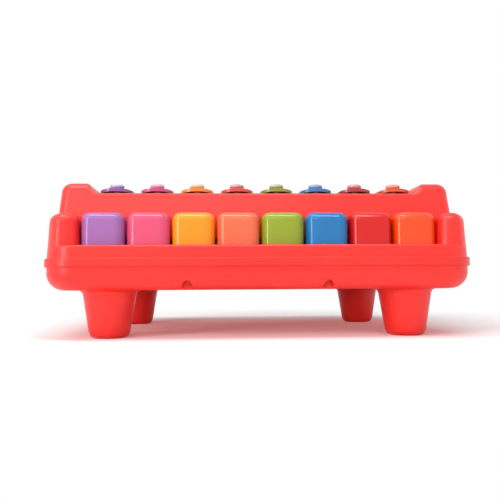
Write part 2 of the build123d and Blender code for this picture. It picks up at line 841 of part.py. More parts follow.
# Frame with fins that carry the rods, and rails for the felt strips
felt_corner = key_rod_y - (stop_rail_y - felt_rail_width / 2)
pressed_bottom = (
    key_rod_z - lever_height / 2 * math.cos(key_angle) - felt_corner * math.sin(key_angle)
)
stop_rail_top = pressed_bottom - part_gap - felt_thickness
rest_rail_top = key_rod_z - tail_height / 2 - part_gap - felt_thickness
hammer_rail_top = (
    hammer_rod_z
    + (hammer_rod_y - hammer_rail_y - felt_rail_width / 2) * math.tan(arm_slope)
    - hammer_arm_height / 2 / math.cos(arm_slope)
    - part_gap
    - felt_thickness
)
frame_half_width = note_count / 2 * key_pitch + fin_thickness / 2
frame_across = (-frame_half_width, frame_half_width)
fin_base = (plate_bottom + plate_top) / 2
with BuildPart() as action_frame:
    add(box_between(frame_across, (frame_front, frame_back), (plate_bottom, plate_top)))
    for rail_y, rail_bottom, rail_top_face in (
        (stop_rail_y, plate_top, stop_rail_top),
        (rest_rail_y, plate_top, rest_rail_top),
        (hammer_rail_y, hammer_rail_top - hammer_rail_height, hammer_rail_top),
    ):
        add(
            box_between(
                frame_across,
                (rail_y - felt_rail_width / 2, rail_y + felt_rail_width / 2),
                (rail_bottom, rail_top_face),
            )
        )
    for x in fin_centres:
        with BuildSketch(Plane.YZ.offset(x - fin_thickness / 2)):
            with Locations((key_rod_y, key_rod_z)):
                Rectangle(2 * fin_crown_radius, 2 * fin_crown_radius)
            with Locations((key_rod_y, fin_base)):
                Rectangle(fin_foot, frame_plate)
            make_hull()
        extrude(amount=fin_thickness)
        with BuildSketch(Plane.YZ.offset(x - fin_thickness / 2)):
            with Locations((hammer_rod_y, hammer_rod_z)):
                Rectangle(2 * fin_crown_radius, 2 * fin_crown_radius)
            with Locations((hammer_rod_y, fin_base)):
                Rectangle(fin_foot, frame_plate)
            with Locations((hammer_rail_y, hammer_rail_top - hammer_rail_height / 2)):
                Rectangle(felt_rail_width, hammer_rail_height)
            make_hull()
        extrude(amount=fin_thickness)
    add(
        box_between(
            frame_across,
            (hammer_rail_y - felt_rail_width, hammer_rail_y + felt_rail_width / 2 + part_gap),
            (hammer_rail_top, rail_top),
        ),
        mode=Mode.SUBTRACT,
    )
    with BuildSketch(Plane.YZ.offset(-frame_half_width)):
        with Locations((key_rod_y, key_rod_z), (hammer_rod_y, hammer_rod_z)):
            Circle(rod_radius + rod_clearance)
    extrude(amount=2 * frame_half_width, mode=Mode.SUBTRACT)
    with BuildSketch(Plane.XY.offset(plate_bottom)):
        with Locations(*frame_screw_places):
            Circle(screw_radius + screw_clearance)
    extrude(amount=frame_plate, mode=Mode.SUBTRACT)
action_frame.part.label = "action_frame"
export_step(action_frame.part, "parts/action_frame.step")

# Felt strips that the keys and hammers come to rest on
for name, rail_y, rail_top_face in (
    ("key_stop_felt", stop_rail_y, stop_rail_top),
    ("key_rest_felt", rest_rail_y, rest_rail_top),
    ("hammer_rest_felt", hammer_rail_y, hammer_rail_top),
):
    with BuildPart() as felt:
        add(
            box_between(
                frame_across,
                (rail_y - felt_rail_width / 2, rail_y + felt_rail_width / 2),
                (rail_top_face, rail_top_face + felt_thickness),
            )
        )
    felt.part.label = name
    export_step(felt.part, f"parts/{name}.step")

# Leaf springs that push the keys up
spring_low = plate_top + spring_thickness / 2
spring_high = key_bottom - part_gap - spring_thickness / 2
for number, x in enumerate(key_centres, start=1):
    with BuildPart() as spring:
        with BuildSketch(Plane.YZ.offset(x - spring_width / 2)):
            with BuildLine():
                FilletPolyline(
                    (spring_foot_y, spring_low),
                    (spring_bend_y, spring_low),
                    (spring_tip_y, spring_high),
                    (spring_tip_y - spring_curl, spring_high - spring_curl / 2),
                    radius=spring_bend_radius,
                )
            trace(line_width=spring_thickness)
        extrude(amount=spring_width)
    spring.part.label = f"key_spring_{number}"
    export_step(spring.part, f"parts/key_spring_{number}.step")

# Screws, heads down in the wells of the casing and heads up on the frame
for name, places, seat, sense, length in (
    ("casing_screws", casing_screw_places, well_seat, 1, casing_screw_length),
    ("frame_screws", frame_screw_places, plate_top, -1, frame_screw_length),
):
    with BuildPart() as screws:
        with BuildSketch(Plane.XY.offset(seat)):
            with Locations(*places):
                Circle(screw_head_radius)
        extrude(amount=-sense * screw_head_height)
        with BuildSketch(Plane.XY.offset(seat)):
            with Locations(*places):
                Circle(screw_radius)
        extrude(amount=sense * length)
        with BuildSketch(Plane.XY.offset(seat - sense * screw_head_height)):
            with Locations(*places):
                Rectangle(recess_length, recess_width)
                Rectangle(recess_width, recess_length)
        extrude(amount=sense * recess_depth, mode=Mode.SUBTRACT)
    screws.part.label = name
    export_step(screws.part, f"parts/{name}.step")
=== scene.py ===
"""Looks of a toy xylophone played from piano keys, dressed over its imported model."""

import math

import bmesh
import bpy
from mathutils import Matrix, Vector


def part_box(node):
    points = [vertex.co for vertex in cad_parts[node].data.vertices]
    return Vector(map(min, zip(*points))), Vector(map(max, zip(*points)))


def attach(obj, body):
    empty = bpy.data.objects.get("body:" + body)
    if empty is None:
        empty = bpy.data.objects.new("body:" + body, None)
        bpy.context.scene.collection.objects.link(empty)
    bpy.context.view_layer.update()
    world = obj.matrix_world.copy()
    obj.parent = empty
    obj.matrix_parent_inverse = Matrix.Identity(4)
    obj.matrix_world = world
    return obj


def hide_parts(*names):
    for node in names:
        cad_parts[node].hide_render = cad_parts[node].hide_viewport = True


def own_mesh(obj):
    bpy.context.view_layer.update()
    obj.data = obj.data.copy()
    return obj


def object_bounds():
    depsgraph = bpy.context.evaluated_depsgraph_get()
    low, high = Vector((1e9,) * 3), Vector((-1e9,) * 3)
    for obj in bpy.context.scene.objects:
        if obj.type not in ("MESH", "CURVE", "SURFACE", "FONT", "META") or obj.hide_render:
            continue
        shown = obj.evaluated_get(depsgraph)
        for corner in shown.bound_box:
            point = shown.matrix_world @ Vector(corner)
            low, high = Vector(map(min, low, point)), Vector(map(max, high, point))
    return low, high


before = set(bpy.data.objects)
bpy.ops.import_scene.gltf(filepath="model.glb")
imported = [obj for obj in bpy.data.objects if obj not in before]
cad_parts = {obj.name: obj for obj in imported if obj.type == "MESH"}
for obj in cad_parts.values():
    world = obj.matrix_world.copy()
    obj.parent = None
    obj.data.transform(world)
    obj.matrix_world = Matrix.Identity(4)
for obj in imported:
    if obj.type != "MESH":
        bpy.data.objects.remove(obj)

bl_info = {
    "name": "Toy xylophone with piano keys",
    "version": (1, 0, 0),
    "blender": (4, 5, 0),
    "location": "3D View > Sidebar > Xylophone",
    "description": "Dresses the packed model of a toy xylophone and sets up a studio round it",
    "category": "Object",
}

MM = 0.001
NOTES = ("purple", "pink", "yellow", "coral", "green", "blue", "red", "orange")
NOTE_NUMBERS = range(1, len(NOTES) + 1)
CAD_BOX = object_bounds()

# Red glow painted on the paper round the casing, as painted bounce light from it: how far it
# reaches, its share where it starts, and the share of the model's half width and half depth at
# which it starts
PAINTED_BLUSH_REACH = 50 * MM
PAINTED_BLUSH_SHARE = 0.24
FOOTPRINT_SHARE = 0.85

# A key behind its cap, in the sizes of the CAD key
LEVER_HALF_WIDTH = 6.5 * MM
LEVER_HEIGHT = 8 * MM
TAIL_HALF_HEIGHT = 3.2 * MM
TAIL_TIP_DEPTH = 5 * MM
NUB_RADIUS = 2.2 * MM
HUB_HALF_DEPTH = 4 * MM
HUB_END_GAP = 0.3 * MM
ROD_GAP = 0.05 * MM

# Small distance that tells whether points lie in one plane
TOUCH = MM / 10

# Distance under which points of a CAD mesh are one, and the angle from which its edges are rounded
WELD_DISTANCE = 0.002 * MM
HARD_EDGE_DEGREES = 40

# Steps that rounded forms are made of
HARD_EDGE_STEPS = 3
CORNER_STEPS = 10
RIM_STEPS = 8
QUARTER_STEPS = 12
BEAD_CHORDS = 16
HOLE_CHORDS = 32
PEG_CHORDS = 48
PEG_PROFILE_DEGREES = 10

# How square the side of a peg's head is: 1 gives an ellipse, 0 a cylinder
PEG_BLUNTNESS = 0.4

# Softboxes: name, size, place and the point that each looks at in metres, watts, and whether
# glossy surfaces mirror it
LAMPS = (
    ("Overhead softbox", (0.9, 0.12), (-0.1, -0.3, 0.75), (0.0, -0.05, 0.1), 4.2, True),
    ("Left softbox", (0.12, 0.7), (-0.75, -0.62, 0.36), (0.0, -0.05, 0.08), 2.9, True),
    ("High front softbox", (1.0, 0.3), (-0.3, -1.25, 0.85), (0.0, -0.05, 0.1), 2.2, True),
    ("Low front fill", (2.8, 0.2), (-0.2, -1.4, 0.1), (0.0, 0.0, 0.06), 6.0, False),
)

# Strength of the soft light from all round
WORLD_LIGHT = 0.5

# Camera, fitted to the photo, with its angles in degrees
CAMERA_PLACE_MM = (-32.566, -506.182, 40.0)
CAMERA_LENS_MM = 39.97
CAMERA_SENSOR_MM = 36.0
CAMERA_SHIFT_X = 0.0145
CAMERA_TURNED_RIGHT, CAMERA_TILTED_UP, CAMERA_ROLLED = 2.681, 3.506, -0.351


# Colours


def linear(hex_colour):
    """An sRGB hex colour as linear red, green, blue and alpha."""
    channels = []
    for start in (1, 3, 5):
        value = int(hex_colour[start : start + 2], 16) / 255
        channels.append(value / 12.92 if value <= 0.04045 else ((value + 0.055) / 1.055) ** 2.4)
    return (*channels, 1.0)


CASING_RED = "#fa2c24"
FELT_RED = "#c2454a"
FRAME_WHITE = "#e8e4dc"
PAPER_WHITE = "#f4f4f4"

# One colour for each note, in the order of NOTES
KEY_COLOURS = (
    "#97619f", "#d2496d", "#ef8e08", "#e16641", "#88981f", "#1772af", "#cb0604", "#ec4606",
)
BAR_COLOURS = (
    "#8b4a9a", "#c23a78", "#ee7f1e", "#cc4236", "#8c8a24", "#2f6fae", "#a51f1e", "#d9481c",
)
# Pale tints for the peg heads: white mixed with each bar's colour, a painted reflection of the
# coloured bar under each head
PEG_TINTS_WITH_PAINTED_BAR_REFLECTION = (
    "#c3c3d0", "#dcafc3", "#e4bf9d", "#cfa2a0", "#b4be97", "#a3abc6", "#db97a5", "#e6a090",
)


def colour_property(name, hex_colour):
    """A colour that a user can change, with its default given in hex."""
    return bpy.props.FloatVectorProperty(
        name=name,
        description=f"{name} in linear red, green and blue",
        subtype="COLOR",
        size=4,
        min=0.0,
        max=1.0,
        default=linear(hex_colour),
    )


def length_property(name, description, millimetres):
    """A length that a user can change, with its default given in millimetres."""
    return bpy.props.FloatProperty(
        name=name,
        description=description,
        unit="LENGTH",
        min=0.0,
        precision=5,
        default=millimetres * MM,
    )


# Materials


# Sockets that are given by number, because a node has several of the same name
MIX_SHARE, MIX_FIRST, MIX_SECOND, MIX_RESULT = 0, 6, 7, 2
SURFACE_SHARE, FIRST_SURFACE, SECOND_SURFACE = 0, 1, 2
FIRST_TERM, SECOND_TERM = 0, 1


def add(tree, kind, inputs=None, links=None, **settings):
    """A new node with its settings, the values of its sockets and what is linked to them."""
    node = tree.nodes.new(kind)
    for key, value in settings.items():
        setattr(node, key, value)
    for socket, value in (inputs or {}).items():
        node.inputs[socket].default_value = value
    for socket, source in (links or {}).items():
        tree.links.new(source, node.inputs[socket])
    return node


def scale_for(millimetres):
    """Scale of a texture whose features are this large, in coordinates of metres."""
    return 1.0 / (millimetres * MM)


def dimmed(colour, share):
    """A colour that keeps this share of its light."""
    return [channel * share for channel in colour[:3]] + [1.0]


def blank_material(name):
    """A material with an empty tree, and the object coordinates that its patterns use."""
    material = bpy.data.materials.new(name)
    material.use_nodes = True
    tree = material.node_tree
    tree.nodes.clear()
    place = add(tree, "ShaderNodeTexCoord").outputs["Object"]
    return material, tree, place


def moulded_plastic(name, colour, roughness, peel_mm, peel_depth_mm, milky=0.0):
    """Injection-moulded plastic. The mould's polish leaves a gloss, the cooling skin a faint
    orange peel, and uneven packing a slight drift of tone and shine over the larger faces. A
    milky one lets light a few millimetres in, so that its shaded sides glow in its own colour."""
    material, tree, place = blank_material(name)
    drift = add(
        tree,
        "ShaderNodeTexNoise",
        inputs={"Scale": scale_for(millimetres=60), "Detail": 2.0, "Roughness": 0.5},
        links={"Vector": place},
    )
    tone = add(tree, "ShaderNodeValToRGB", links={"Fac": drift.outputs["Fac"]})
    deeper, plain = tone.color_ramp.elements
    deeper.position, deeper.color = 0.3, dimmed(colour, 0.86)
    plain.position, plain.color = 0.62, colour
    scuffs = add(
        tree,
        "ShaderNodeTexNoise",
        inputs={"Scale": scale_for(millimetres=9), "Detail": 4.0, "Roughness": 0.6},
        links={"Vector": place},
    )
    shine = add(
        tree,
        "ShaderNodeMapRange",
        inputs={
            "From Min": 0.3,
            "From Max": 0.75,
            "To Min": roughness * 0.88,
            "To Max": roughness * 1.18,
        },
        links={"Value": scuffs.outputs["Fac"]},
    )
    peel = add(
        tree,
        "ShaderNodeTexNoise",
        inputs={"Scale": scale_for(peel_mm), "Detail": 2.0, "Roughness": 0.45},
        links={"Vector": place},
    )
    bump = add(
        tree,
        "ShaderNodeBump",
        inputs={"Strength": 1.0, "Distance": peel_depth_mm * MM},
        links={"Height": peel.outputs["Fac"]},
    )
    shader = add(
        tree,
        "ShaderNodeBsdfPrincipled",
        inputs={
            "IOR": 1.5,
            "Metallic": 0.0,
            "Subsurface Weight": milky,
            "Subsurface Radius": (1.0, 0.15, 0.1),
            "Subsurface Scale": 6 * MM,
        },
        links={
            "Base Color": tone.outputs["Color"],
            "Roughness": shine.outputs["Result"],
            "Normal": bump.outputs["Normal"],
        },
    )
    add(tree, "ShaderNodeOutputMaterial", links={"Surface": shader.outputs["BSDF"]})
    return material


def enamelled_steel(name, colour):
    """Steel plate with stoved enamel. The enamel flows out to a wet gloss, in waves that are just
    deep enough to bend a highlight, and its tone deepens a little where it lies thicker."""
    material, tree, place = blank_material(name)
    flow = add(
        tree,
        "ShaderNodeTexNoise",
        inputs={"Scale": scale_for(millimetres=14), "Detail": 3.0, "Roughness": 0.5},
        links={"Vector": place},
    )
    tone = add(
        tree,
        "ShaderNodeMix",
        data_type="RGBA",
        inputs={MIX_FIRST: colour, MIX_SECOND: dimmed(colour, 0.8)},
        links={MIX_SHARE: flow.outputs["Fac"]},
    )
    bump = add(
        tree,
        "ShaderNodeBump",
        inputs={"Strength": 1.0, "Distance": 0.03 * MM},
        links={"Height": flow.outputs["Fac"]},
    )
    shader = add(
        tree,
        "ShaderNodeBsdfPrincipled",
        inputs={
            "IOR": 1.52,
            "Roughness": 0.3,
            "Metallic": 0.0,
            "Coat Weight": 0.6,
            "Coat Roughness": 0.06,
        },
        links={"Base Color": tone.outputs[MIX_RESULT], "Normal": bump.outputs["Normal"]},
    )
    add(tree, "ShaderNodeOutputMaterial", links={"Surface": shader.outputs["BSDF"]})
    return material


def pearl_acetal(name, colour):
    """Moulded acetal with a pearl pigment. It is milky, so light spreads a little way into it,
    and the pigment gives slow bands of deeper tone round the gate."""
    material, tree, place = blank_material(name)
    swirl = add(
        tree,
        "ShaderNodeTexNoise",
        inputs={"Scale": scale_for(millimetres=7), "Detail": 3.0, "Distortion": 1.2},
        links={"Vector": place},
    )
    tone = add(
        tree,
        "ShaderNodeMix",
        data_type="RGBA",
        inputs={MIX_FIRST: colour, MIX_SECOND: dimmed(colour, 0.84)},
        links={MIX_SHARE: swirl.outputs["Fac"]},
    )
    shader = add(
        tree,
        "ShaderNodeBsdfPrincipled",
        inputs={
            "IOR": 1.48,
            "Roughness": 0.28,
            "Subsurface Weight": 0.25,
            "Subsurface Scale": 1.5 * MM,
            "Sheen Weight": 0.1,
        },
        links={"Base Color": tone.outputs[MIX_RESULT]},
    )
    add(tree, "ShaderNodeOutputMaterial", links={"Surface": shader.outputs["BSDF"]})
    return material


def pressed_felt(name, colour):
    """Pressed wool felt. It has no weave, only matted fibres that catch light at the edges."""
    material, tree, place = blank_material(name)
    # Wool fibres are some hundredths of a millimetre thick, and are drawn coarser to be seen
    fibres = add(
        tree,
        "ShaderNodeTexNoise",
        inputs={
            "Scale": scale_for(millimetres=0.8),
            "Detail": 8.0,
            "Roughness": 0.7,
            "Distortion": 1.5,
        },
        links={"Vector": place},
    )
    tone = add(
        tree,
        "ShaderNodeMix",
        data_type="RGBA",
        inputs={MIX_FIRST: dimmed(colour, 0.7), MIX_SECOND: colour},
        links={MIX_SHARE: fibres.outputs["Fac"]},
    )
    bump = add(
        tree,
        "ShaderNodeBump",
        inputs={"Strength": 1.0, "Distance": 0.3 * MM},
        links={"Height": fibres.outputs["Fac"]},
    )
    shader = add(
        tree,
        "ShaderNodeBsdfPrincipled",
        inputs={"IOR": 1.5, "Roughness": 0.95, "Sheen Weight": 0.4, "Sheen Roughness": 0.5},
        links={"Base Color": tone.outputs[MIX_RESULT], "Normal": bump.outputs["Normal"]},
    )
    add(tree, "ShaderNodeOutputMaterial", links={"Surface": shader.outputs["BSDF"]})
    return material


def worked_steel(name, colour, roughness, stretch, line_mm):
    """Steel that was drawn, rolled or plated. Its surface keeps fine lines along the way it was
    worked, which spread its highlights across them."""
    material, tree, place = blank_material(name)
    # Such lines are some hundredths of a millimetre wide, and are drawn coarser to be seen
    along = add(tree, "ShaderNodeMapping", inputs={"Scale": stretch}, links={"Vector": place})
    lines = add(
        tree,
        "ShaderNodeTexNoise",
        inputs={"Scale": scale_for(line_mm), "Detail": 5.0, "Roughness": 0.65},
        links={"Vector": along.outputs["Vector"]},
    )
    tone = add(
        tree,
        "ShaderNodeMix",
        data_type="RGBA",
        inputs={MIX_FIRST: dimmed(colour, 0.75), MIX_SECOND: colour},
        links={MIX_SHARE: lines.outputs["Fac"]},
    )
    shine = add(
        tree,
        "ShaderNodeMapRange",
        inputs={
            "From Min": 0.3,
            "From Max": 0.7,
            "To Min": roughness * 0.75,
            "To Max": roughness * 1.3,
        },
        links={"Value": lines.outputs["Fac"]},
    )
    bump = add(
        tree,
        "ShaderNodeBump",
        inputs={"Strength": 1.0, "Distance": 0.02 * MM},
        links={"Height": lines.outputs["Fac"]},
    )
    shader = add(
        tree,
        "ShaderNodeBsdfPrincipled",
        inputs={"Metallic": 1.0},
        links={
            "Base Color": tone.outputs[MIX_RESULT],
            "Roughness": shine.outputs["Result"],
            "Normal": bump.outputs["Normal"],
        },
    )
    add(tree, "ShaderNodeOutputMaterial", links={"Surface": shader.outputs["BSDF"]})
    return material


def paper_sweep(name, colour, footprint, clear_from, clear_to):
    """Matte white studio paper. Its fibres scatter all light, so it shows the shade that falls on
    it.
    Near the casing a red glow is painted in for camera rays, as painted bounce light from the
    casing, and the paper runs out into white away from the object."""
    material, tree, place = blank_material(name)
    # Paper fibres are some hundredths of a millimetre thick, and are drawn coarser to be seen
    grain = add(
        tree,
        "ShaderNodeTexNoise",
        inputs={"Scale": scale_for(millimetres=2), "Detail": 4.0},
        links={"Vector": place},
    )
    bump = add(
        tree,
        "ShaderNodeBump",
        inputs={"Strength": 0.2, "Distance": 0.05 * MM},
        links={"Height": grain.outputs["Fac"]},
    )
    paper = add(
        tree,
        "ShaderNodeBsdfDiffuse",
        inputs={"Color": colour, "Roughness": 0.5},
        links={"Normal": bump.outputs["Normal"]},
    )
    side = add(tree, "ShaderNodeVectorMath", operation="ABSOLUTE", links={FIRST_TERM: place})
    beyond = add(
        tree,
        "ShaderNodeVectorMath",
        operation="SUBTRACT",
        inputs={SECOND_TERM: footprint},
        links={FIRST_TERM: side.outputs["Vector"]},
    )
    outside = add(
        tree,
        "ShaderNodeVectorMath",
        operation="MAXIMUM",
        links={FIRST_TERM: beyond.outputs["Vector"]},
    )
    from_casing = add(
        tree,
        "ShaderNodeVectorMath",
        operation="LENGTH",
        links={FIRST_TERM: outside.outputs["Vector"]},
    )
    # Painted bounce light: a red glow, seen only by the camera, strongest at the casing and fading
    # with distance
    glow = add(
        tree,
        "ShaderNodeMapRange",
        inputs={"From Min": 0.0, "From Max": PAINTED_BLUSH_REACH, "To Min": PAINTED_BLUSH_SHARE, "To Max": 0.0},
        links={"Value": from_casing.outputs["Value"]},
    )
    distance = add(tree, "ShaderNodeVectorMath", operation="LENGTH", links={FIRST_TERM: place})
    clear = add(
        tree,
        "ShaderNodeMapRange",
        interpolation_type="SMOOTHSTEP",
        inputs={"From Min": clear_from, "From Max": clear_to, "To Min": 0.0, "To Max": 1.0},
        links={"Value": distance.outputs["Value"]},
    )
    seen = add(tree, "ShaderNodeLightPath").outputs["Is Camera Ray"]
    painted_blush_share = add(
        tree,
        "ShaderNodeMath",
        operation="MULTIPLY",
        links={FIRST_TERM: seen, SECOND_TERM: glow.outputs["Result"]},
    )
    clear_share = add(
        tree,
        "ShaderNodeMath",
        operation="MULTIPLY",
        links={FIRST_TERM: seen, SECOND_TERM: clear.outputs["Result"]},
    )
    painted_blush = add(tree, "ShaderNodeEmission", inputs={"Color": linear("#ff8d8a"), "Strength": 1.0})
    white = add(tree, "ShaderNodeEmission", inputs={"Color": linear("#ffffff"), "Strength": 1.0})
    paper_with_painted_blush = add(
        tree,
        "ShaderNodeMixShader",
        links={
            SURFACE_SHARE: painted_blush_share.outputs["Value"],
            FIRST_SURFACE: paper.outputs["BSDF"],
            SECOND_SURFACE: painted_blush.outputs["Emission"],
        },
    )
    surface = add(
        tree,
        "ShaderNodeMixShader",
        links={
            SURFACE_SHARE: clear_share.outputs["Value"],
            FIRST_SURFACE: paper_with_painted_blush.outputs["Shader"],
            SECOND_SURFACE: white.outputs["Emission"],
        },
    )
    add(tree, "ShaderNodeOutputMaterial", links={"Surface": surface.outputs["Shader"]})
    return material


# Meshes


def dress(node_name, material, bevel_mm=0.0):
    """Gives a CAD node its material and, where asked, small rounds on its hard edges, as wide as
    its smallest faces leave room for, and shading that follows its larger faces."""
    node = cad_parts[node_name]
    node.data.materials.clear()
    node.data.materials.append(material)
    if bevel_mm:
        weld = node.modifiers.new("Joined faces", "WELD")
        weld.merge_threshold = WELD_DISTANCE
        bevel = node.modifiers.new("Edge round", "BEVEL")
        bevel.width = bevel_mm * MM
        bevel.segments = HARD_EDGE_STEPS
        bevel.limit_method = "ANGLE"
        bevel.angle_limit = math.radians(HARD_EDGE_DEGREES)
        bevel.use_clamp_overlap = True
        normals = node.modifiers.new("Even shading", "WEIGHTED_NORMAL")
        normals.mode = "FACE_AREA"
        normals.weight = 100


def new_piece(name, mesh_maker, materials, body):
    """A piece made by a function that fills a mesh, riding on a body of the model."""
    mesh = bpy.data.meshes.new(name)
    bm = bmesh.new()
    mesh_maker(bm)
    bmesh.ops.recalc_face_normals(bm, faces=bm.faces)
    bm.to_mesh(mesh)
    bm.free()
    mesh.shade_smooth()
    for material in materials:
        mesh.materials.append(material)
    piece = bpy.data.objects.new(name, mesh)
    bpy.context.scene.collection.objects.link(piece)
    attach(piece, body)
    return piece


def smooth_by_angle(piece, degrees):
    """Keeps the edges of a smooth piece crisp where its faces meet at more than an angle."""
    bm = bmesh.new()
    bm.from_mesh(piece.data)
    angles = [edge.calc_face_angle(math.pi) for edge in bm.edges]
    bm.free()
    for edge, angle in zip(piece.data.edges, angles):
        edge.use_edge_sharp = angle > math.radians(degrees)


def solid_from_outline(bm, loops, x_from, x_to):
    """Block from one X to another, with an outline in the side view and any holes after it."""
    edges = []
    for loop in loops:
        corners = [bm.verts.new((x_from, y, z)) for y, z in loop]
        edges += [bm.edges.new((a, b)) for a, b in zip(corners, corners[1:] + corners[:1])]
    filled = bmesh.ops.triangle_fill(bm, use_beauty=True, edges=edges)
    faces = [item for item in filled["geom"] if isinstance(item, bmesh.types.BMFace)]
    pushed = bmesh.ops.extrude_face_region(bm, geom=faces, use_keep_orig=True)
    moved = [item for item in pushed["geom"] if isinstance(item, bmesh.types.BMVert)]
    bmesh.ops.translate(bm, verts=moved, vec=(x_to - x_from, 0, 0))


def circle(across, up, radius, chords):
    """Points of a circle in a plane."""
    turns = [math.tau * step / chords for step in range(chords)]
    return [(across + radius * math.cos(turn), up + radius * math.sin(turn)) for turn in turns]


def round_edges(bm, edges, radius, steps):
    """Rounds edges of a mesh with a quarter circle."""
    bmesh.ops.bevel(
        bm, geom=edges, offset=radius, segments=steps, profile=0.5, affect="EDGES"
    )


def rounded_cap(bm, low, high, corner, edge, wall):
    """Hollow cap, open below, with rounded upright corners and a rounded rim round its top."""
    made = bmesh.ops.create_cube(bm, size=1.0)
    middle, size = (low + high) / 2, high - low
    for vert in made["verts"]:
        vert.co = Vector([middle[i] + vert.co[i] * size[i] for i in range(3)])
    upright = [e for e in bm.edges if abs(e.verts[0].co.z - e.verts[1].co.z) > size.z / 2]
    round_edges(bm, upright, corner, CORNER_STEPS)
    top = [e for e in bm.edges if min(v.co.z for v in e.verts) > high.z - TOUCH]
    round_edges(bm, top, edge, RIM_STEPS)
    floor = [f for f in bm.faces if max(v.co.z for v in f.verts) < low.z + TOUCH]
    bmesh.ops.delete(bm, geom=floor, context="FACES")
    bmesh.ops.recalc_face_normals(bm, faces=bm.faces)
    bmesh.ops.solidify(bm, geom=bm.faces[:] + bm.edges[:] + bm.verts[:], thickness=wall)


def turned_profile(bm, centre, profile, chords):
    """Surface of a profile of radii and heights turned about an upright axis."""
    rings = []
    for radius, height in profile:
        around = circle(centre.x, centre.y, radius, chords) if radius else [centre.xy]
        rings.append([bm.verts.new((x, y, height)) for x, y in around])
    for lower, upper in zip(rings, rings[1:]):
        for step in range(chords):
            after = (step + 1) % chords
            ring = [lower[step % len(lower)], lower[after % len(lower)]]
            ring += [upper[after % len(upper)], upper[step % len(upper)]]
            corners = list(dict.fromkeys(ring))
            bm.faces.new(corners)


# What a user can change


class CasingSettings(bpy.types.PropertyGroup):
    colour: colour_property("Casing colour", CASING_RED)
    peel: length_property("Orange peel", "Width of the ripples that the mould leaves", 3.0)
    edge: length_property("Edge round", "Rounding that the mould leaves on sharp edges", 0.6)
    flange_corner: length_property(
        "Flange corner", "Corner radius of the flange, seen from above", 26.6
    )
    flange_above: length_property("Flange above", "Height of the flange above the seam", 2.2)
    flange_below: length_property("Flange below", "Height of the flange below the seam", 3.1)
    bead: length_property("Bead", "Radius of the flange's rounded rims", 0.6)
    bead_rise: length_property("Bead rise", "How far a rim stands out over the flange's edge", 0.5)


class KeySettings(bpy.types.PropertyGroup):
    corner: length_property("Corner radius", "Rounding of the upright corners of a key", 8.0)
    rim: length_property("Rim radius", "Rounding of the edge round the top of a key", 6.0)
    wall: length_property("Wall", "Wall of a key cap", 2.0)
    depth: length_property("Depth", "Depth of a key cap from front to back", 23.4)
    spread: length_property(
        "Spread", "How far a cap stands out at each side of its CAD solid", 0.4
    )


class BarSettings(bpy.types.PropertyGroup):
    edge: length_property("Edge round", "Rounding of the edges of a bar", 0.9)


class PegSettings(bpy.types.PropertyGroup):
    radius: length_property("Head radius", "Radius of a peg's head", 5.85)
    height: length_property("Head height", "Height of a peg's head", 3.9)
    sunk: length_property(
        "Sunk", "How far a peg's head stays under the top of its CAD solid", 0.6
    )
    shank: length_property("Shank", "Width of a peg's square shank", 3.4)


class ActionSettings(bpy.types.PropertyGroup):
    felt: colour_property("Felt colour", FELT_RED)
    frame_plastic: colour_property("Frame colour", FRAME_WHITE)
    spring_keep: bpy.props.FloatProperty(
        name="Spring height kept",
        description="Share of its height that a leaf spring keeps under a pressed key",
        subtype="FACTOR",
        min=0.1,
        max=1.0,
        default=0.82,
    )


class StudioSettings(bpy.types.PropertyGroup):
    floor: colour_property("Floor colour", PAPER_WHITE)
    floor_size: length_property("Floor size", "Side of the square of paper", 8000.0)
    clear_from: length_property(
        "White from", "Where the paper starts to run out into white", 230.0
    )
    clear_to: length_property("White at", "Where the paper is plain white", 420.0)


# Operators


class XYLO_OT_casing(bpy.types.Operator):
    """Finish the two halves of the casing in glossy red plastic"""

    bl_idname = "xylophone.casing"
    bl_label = "Casing"

    def execute(self, context):
        settings = context.scene.xylophone_casing
        plastic = moulded_plastic(
            "Moulded polypropylene red",
            settings.colour[:],
            roughness=0.34,
            peel_mm=settings.peel / MM,
            peel_depth_mm=0.02,
            milky=0.4,
        )
        for name in ("upper_shell", "lower_shell"):
            dress(name, plastic, settings.edge / MM)
        new_piece(
            "flange_beads",
            lambda bm: self.beads(bm, settings),
            [plastic],
            "root",
        )
        return {"FINISHED"}

    @staticmethod
    def beads(bm, settings):
        """The rounded rims that the mould leaves along the upper and lower edge of the flange."""
        low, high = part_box("upper_shell")
        seam = low.z
        corner, radius = settings.flange_corner, settings.bead
        shift = radius - settings.bead_rise
        quarters = ((1, 1), (-1, 1), (-1, -1), (1, -1))
        for height in (seam + settings.flange_above - shift, seam - settings.flange_below + shift):
            rings = []
            for quarter, (side_x, side_y) in enumerate(quarters):
                for step in range(QUARTER_STEPS + 1):
                    turn = math.pi / 2 * (quarter + step / QUARTER_STEPS)
                    outward = Vector((math.cos(turn), math.sin(turn), 0))
                    centre = Vector(
                        (side_x * (high.x - corner), side_y * (high.y - corner), height)
                    )
                    centre += (corner - radius) * outward
                    rings.append(
                        [
                            bm.verts.new(centre + out * outward + Vector((0, 0, up)))
                            for out, up in circle(0, 0, radius, BEAD_CHORDS)
                        ]
                    )
            for ring, following in zip(rings, rings[1:] + rings[:1]):
                for index in range(BEAD_CHORDS):
                    after = (index + 1) % BEAD_CHORDS
                    bm.faces.new((ring[index], following[index], following[after], ring[after]))


